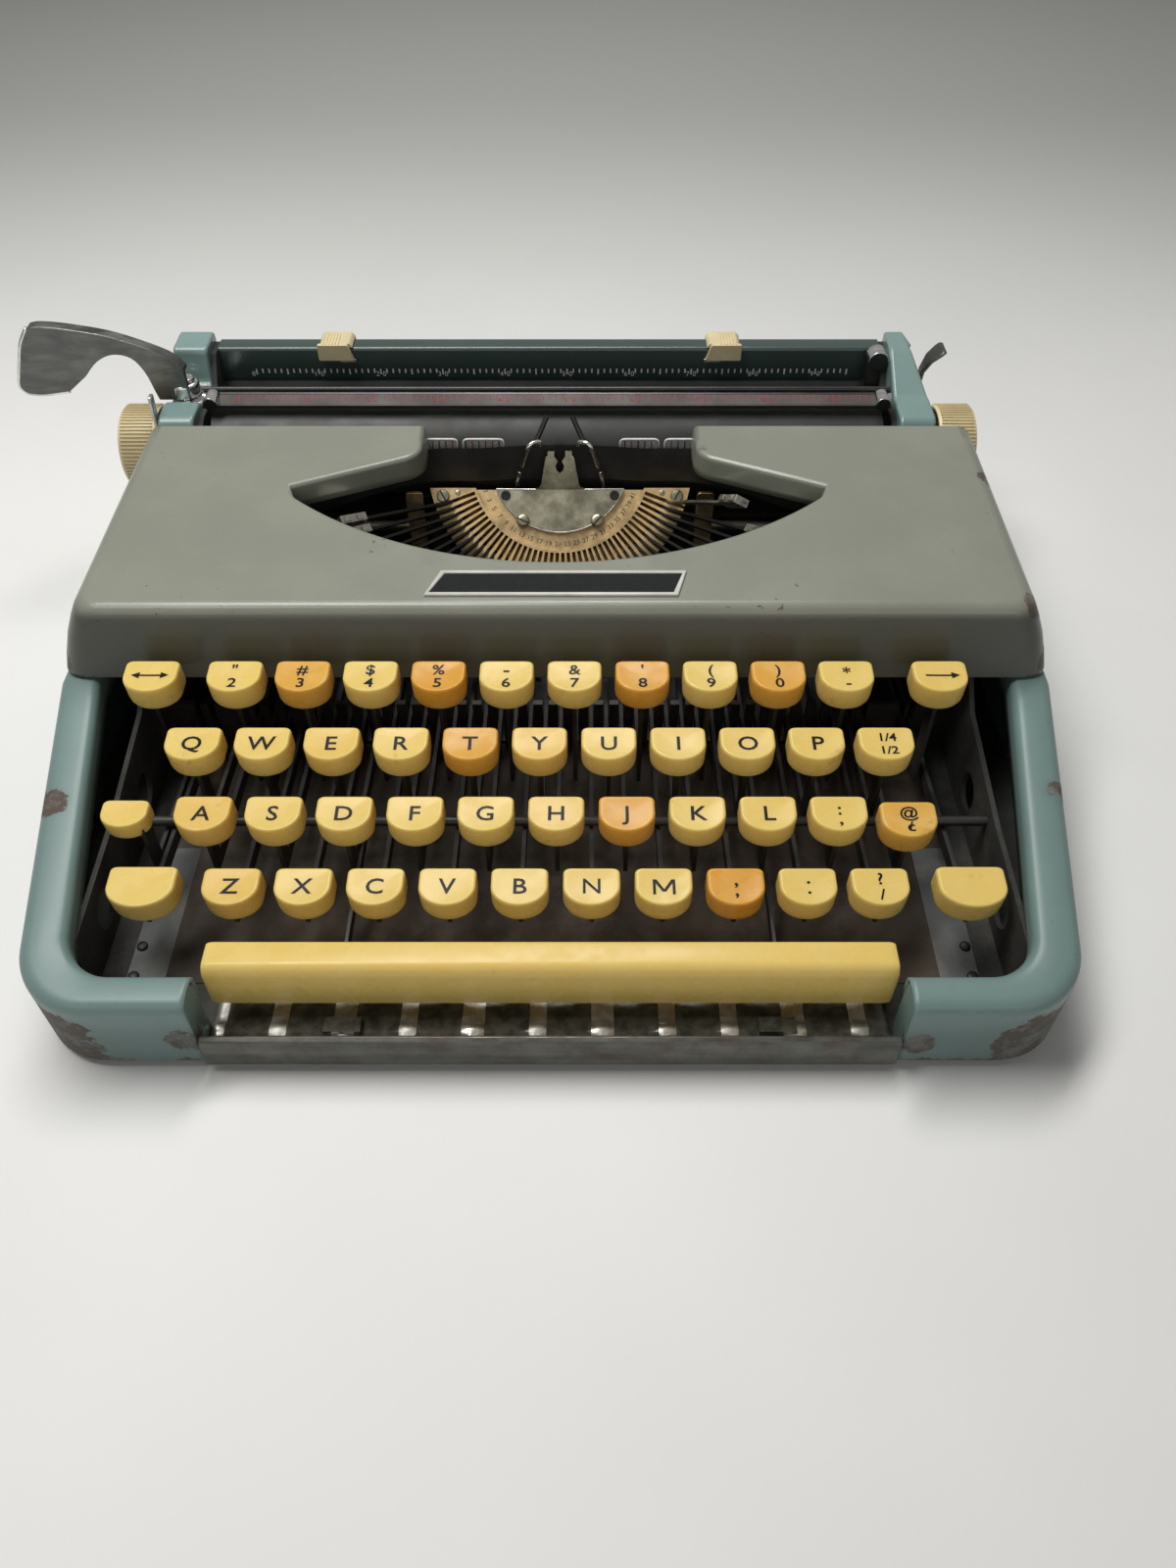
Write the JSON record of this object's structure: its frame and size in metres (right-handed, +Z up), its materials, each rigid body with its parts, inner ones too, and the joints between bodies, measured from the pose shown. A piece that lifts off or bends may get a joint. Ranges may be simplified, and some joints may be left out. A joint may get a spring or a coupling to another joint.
{
  "type": "portable typewriter",
  "caption": "Flat portable manual typewriter with a pressed metal housing, dished plastic keys, a lifting ribbon cover, a fan of typebars and a sliding carriage with a rubber platen.",
  "frame": {"origin": "on the table, under the middle of the housing's width, 131 mm behind its front face", "axes": "+X to the typist's right, +Y to the rear, +Z up"},
  "size_m": [0.3426, 0.2675, 0.0895],
  "materials": {
    "teal_paint": "worn gloss",
    "grey_paint": "worn satin",
    "dark_steel": "matte",
    "brown_plate": "matte",
    "steel": "satin",
    "bright": "polished",
    "brass": "aged",
    "cream": "gloss",
    "rubber": "matte",
    "ribbon": "matte",
    "clear": "clear",
    "plate": "gloss"
  },
  "bodies": {
    "frame": {"lower_shell": "teal_paint", "bottom_plate": "brown_plate", "rubber_feet": "rubber", "chassis": "dark_steel", "lever_comb": "steel", "key_pivot_shaft": "steel", "cover_pins": "steel", "type_segment": "brass", "type_guide": "steel", "typebars": "steel", "line_scales": "clear", "ribbon": "ribbon", "carriage_rails": "steel", "bell": "bright", "segment_screws": "steel"},
    "cover": {"ribbon_cover": "grey_paint", "name_plate": "plate"},
    "truck": {"carriage_truck": "steel"},
    "carriage": {"carriage_frame": "dark_steel", "margin_rail": "teal_paint", "paper_table": "dark_steel", "end_covers": "teal_paint"},
    "platen_roll": {"platen": "rubber", "platen_shaft": "steel", "platen_knobs": "cream", "line_ratchet": "steel"},
    "feed": {"feed_roller": "rubber"},
    "bail": {"paper_bail": "bright"},
    "return_arm": {"return_lever": "bright"},
    "line_space": {"line_space_lever": "steel"},
    "paper_release": {"paper_release_lever": "bright"},
    "stop_left": {"margin_stop_left": "cream"},
    "stop_right": {"margin_stop_right": "cream"},
    "left_spool": {"spool_left": "dark_steel"},
    "right_spool": {"spool_right": "dark_steel"},
    "vibrator": {"ribbon_vibrator": "bright"},
    "drum": {"mainspring_drum": "steel"},
    "escapement": {"escapement_wheel": "steel"},
    "space": {"space_bar": "cream"},
    "shift": {"shift_keys": "cream"},
    "lock": {"shift_lock": "cream"},
    "margin_release": {"margin_release_key": "cream"},
    "backspace": {"backspace_key": "cream"},
    "number_row": {"number_keys": "cream"},
    "upper_row": {"upper_keys": "cream"},
    "lower_row": {"lower_keys": "cream"},
    "at_key": {"key_at": "cream"},
    "at_bar": {"stuck_typebar": "steel"},
    "a_key": {"key_a": "cream"},
    "s_key": {"key_s": "cream"},
    "d_key": {"key_d": "cream"},
    "f_key": {"key_f": "cream"},
    "g_key": {"key_g": "cream"},
    "h_key": {"key_h": "cream"},
    "j_key": {"key_j": "cream"},
    "k_key": {"key_k": "cream"},
    "l_key": {"key_l": "cream"},
    "semicolon_key": {"key_semicolon": "cream"}
  },
  "joints": [
    {"name": "cover_hinge", "type": "hinge", "parent": "frame", "child": "cover", "pos_m": [0, 0.0724, 0.0625], "axis": [-1, 0, 0], "range_deg": [0, 70]},
    {"name": "carriage_slide", "type": "slide", "parent": "frame", "child": "truck", "axis": [1, 0, 0], "range_m": [-0.105, 0.108]},
    {"name": "carriage_lift", "type": "slide", "parent": "truck", "child": "carriage", "axis": [0, 0, 1], "range_m": [0, 0.006], "stiffness_N_per_m": 20, "springref_m": 0.523},
    {"name": "platen_turn", "type": "hinge", "parent": "carriage", "child": "platen_roll", "pos_m": [-0.00462, 0.093, 0.048], "axis": [1, 0, 0], "continuous": true},
    {"name": "feed_turn", "type": "hinge", "parent": "carriage", "child": "feed", "pos_m": [-0.00462, 0.11292, 0.03913], "axis": [1, 0, 0], "continuous": true},
    {"name": "bail_swing", "type": "hinge", "parent": "carriage", "child": "bail", "pos_m": [-0.00462, 0.108, 0.057], "axis": [-1, 0, 0], "range_deg": [0, 50]},
    {"name": "return_swing", "type": "hinge", "parent": "carriage", "child": "return_arm", "pos_m": [-0.13612, 0.106, 0.064], "axis": [0, 0, -1], "range_deg": [0, 40], "stiffness_Nm_per_rad": 0.05, "springref_deg": -11.46},
    {"name": "line_space_set", "type": "hinge", "parent": "carriage", "child": "line_space", "pos_m": [-0.00462, 0.085, 0.058], "axis": [1, 0, 0], "range_deg": [-12, 12]},
    {"name": "paper_release_pull", "type": "hinge", "parent": "carriage", "child": "paper_release", "pos_m": [-0.00462, 0.1186, 0.057], "axis": [1, 0, 0], "range_deg": [0, 30]},
    {"name": "left_stop_slide", "type": "slide", "parent": "carriage", "child": "stop_left", "axis": [1, 0, 0], "range_m": [-0.032, 0.055]},
    {"name": "right_stop_slide", "type": "slide", "parent": "carriage", "child": "stop_right", "axis": [1, 0, 0], "range_m": [-0.055, 0.045]},
    {"name": "left_spool_turn", "type": "hinge", "parent": "frame", "child": "left_spool", "pos_m": [-0.104, 0.02, 0.05], "axis": [0, 0, 1], "continuous": true},
    {"name": "right_spool_turn", "type": "hinge", "parent": "frame", "child": "right_spool", "pos_m": [0.104, 0.02, 0.05], "axis": [0, 0, 1], "continuous": true},
    {"name": "vibrator_lift", "type": "slide", "parent": "frame", "child": "vibrator", "axis": [0, 0, 1], "range_m": [0, 0.007]},
    {"name": "drum_turn", "type": "hinge", "parent": "frame", "child": "drum", "pos_m": [0.092, 0.103, 0.01], "axis": [0, 0, 1], "range_deg": [-345, 355]},
    {"name": "escapement_turn", "type": "hinge", "parent": "frame", "child": "escapement", "pos_m": [0.03, 0.103, 0.008], "axis": [0, 0, 1], "range_deg": [-1050, 1080]},
    {"name": "space_press", "type": "hinge", "parent": "frame", "child": "space", "pos_m": [0, -0.0638, 0.02208], "axis": [1, 0, 0], "range_deg": [0, 7], "stiffness_Nm_per_rad": 1, "springref_deg": -8.59},
    {"name": "shift_press", "type": "hinge", "parent": "frame", "child": "shift", "pos_m": [0, 0.05, 0.009], "axis": [1, 0, 0], "range_deg": [0, 5.1], "stiffness_Nm_per_rad": 0.4, "springref_deg": -11.46},
    {"name": "shift_lock_press", "type": "hinge", "parent": "shift", "child": "lock", "pos_m": [-0.1134, -0.037, 0.0159], "axis": [1, 0, 0], "range_deg": [0, 4], "stiffness_Nm_per_rad": 0.1, "springref_deg": -17.19},
    {"name": "margin_release_press", "type": "hinge", "parent": "frame", "child": "margin_release", "pos_m": [0, 0.05, 0.009], "axis": [1, 0, 0], "range_deg": [0, 5], "stiffness_Nm_per_rad": 0.4, "springref_deg": -11.46},
    {"name": "backspace_press", "type": "hinge", "parent": "frame", "child": "backspace", "pos_m": [0, 0.05, 0.009], "axis": [1, 0, 0], "range_deg": [0, 5], "stiffness_Nm_per_rad": 0.4, "springref_deg": -11.46},
    {"name": "number_row_press", "type": "hinge", "parent": "frame", "child": "number_row", "pos_m": [0, 0.05, 0.009], "axis": [1, 0, 0], "range_deg": [0, 5], "stiffness_Nm_per_rad": 2.5, "springref_deg": -11.46},
    {"name": "upper_row_press", "type": "hinge", "parent": "frame", "child": "upper_row", "pos_m": [0, 0.05, 0.009], "axis": [1, 0, 0], "range_deg": [0, 5], "stiffness_Nm_per_rad": 2.5, "springref_deg": -11.46},
    {"name": "lower_row_press", "type": "hinge", "parent": "frame", "child": "lower_row", "pos_m": [0, 0.05, 0.009], "axis": [1, 0, 0], "range_deg": [0, 5], "stiffness_Nm_per_rad": 2.5, "springref_deg": -11.46},
    {"name": "a_press", "type": "hinge", "parent": "frame", "child": "a_key", "pos_m": [0, 0.05, 0.009], "axis": [1, 0, 0], "range_deg": [0, 5], "stiffness_Nm_per_rad": 0.4, "springref_deg": -11.46},
    {"name": "s_press", "type": "hinge", "parent": "frame", "child": "s_key", "pos_m": [0, 0.05, 0.009], "axis": [1, 0, 0], "range_deg": [0, 5], "stiffness_Nm_per_rad": 0.4, "springref_deg": -11.46},
    {"name": "d_press", "type": "hinge", "parent": "frame", "child": "d_key", "pos_m": [0, 0.05, 0.009], "axis": [1, 0, 0], "range_deg": [0, 5], "stiffness_Nm_per_rad": 0.4, "springref_deg": -11.46},
    {"name": "f_press", "type": "hinge", "parent": "frame", "child": "f_key", "pos_m": [0, 0.05, 0.009], "axis": [1, 0, 0], "range_deg": [0, 5], "stiffness_Nm_per_rad": 0.4, "springref_deg": -11.46},
    {"name": "g_press", "type": "hinge", "parent": "frame", "child": "g_key", "pos_m": [0, 0.05, 0.009], "axis": [1, 0, 0], "range_deg": [0, 5], "stiffness_Nm_per_rad": 0.4, "springref_deg": -11.46},
    {"name": "h_press", "type": "hinge", "parent": "frame", "child": "h_key", "pos_m": [0, 0.05, 0.009], "axis": [1, 0, 0], "range_deg": [0, 5], "stiffness_Nm_per_rad": 0.4, "springref_deg": -11.46},
    {"name": "j_press", "type": "hinge", "parent": "frame", "child": "j_key", "pos_m": [0, 0.05, 0.009], "axis": [1, 0, 0], "range_deg": [0, 5], "stiffness_Nm_per_rad": 0.4, "springref_deg": -11.46},
    {"name": "k_press", "type": "hinge", "parent": "frame", "child": "k_key", "pos_m": [0, 0.05, 0.009], "axis": [1, 0, 0], "range_deg": [0, 5], "stiffness_Nm_per_rad": 0.4, "springref_deg": -11.46},
    {"name": "l_press", "type": "hinge", "parent": "frame", "child": "l_key", "pos_m": [0, 0.05, 0.009], "axis": [1, 0, 0], "range_deg": [0, 5], "stiffness_Nm_per_rad": 0.4, "springref_deg": -11.46},
    {"name": "semicolon_press", "type": "hinge", "parent": "frame", "child": "semicolon_key", "pos_m": [0, 0.05, 0.009], "axis": [1, 0, 0], "range_deg": [0, 5], "stiffness_Nm_per_rad": 0.4, "springref_deg": -11.46},
    {"name": "at_press", "type": "hinge", "parent": "frame", "child": "at_key", "pos_m": [0, 0.05, 0.009], "axis": [1, 0, 0], "range_deg": [-0.87, 3.9]},
    {"name": "at_bar_swing", "type": "hinge", "parent": "frame", "child": "at_bar", "pos_m": [0.03759, 0.06218, 0.04528], "axis": [-0.342, -0.6645, -0.6645], "range_deg": [-22, 99]}
  ],
  "couplings": [
    {"joint": "shift_press", "follows": "carriage_lift", "rad_per_m": 14.544},
    {"joint": "feed_turn", "follows": "platen_turn", "ratio": -3.3},
    {"joint": "right_spool_turn", "follows": "left_spool_turn", "ratio": 1},
    {"joint": "drum_turn", "follows": "carriage_slide", "rad_per_m": 55.556},
    {"joint": "escapement_turn", "follows": "carriage_slide", "rad_per_m": 166.67},
    {"joint": "at_bar_swing", "follows": "at_press", "ratio": 25.2}
  ]
}
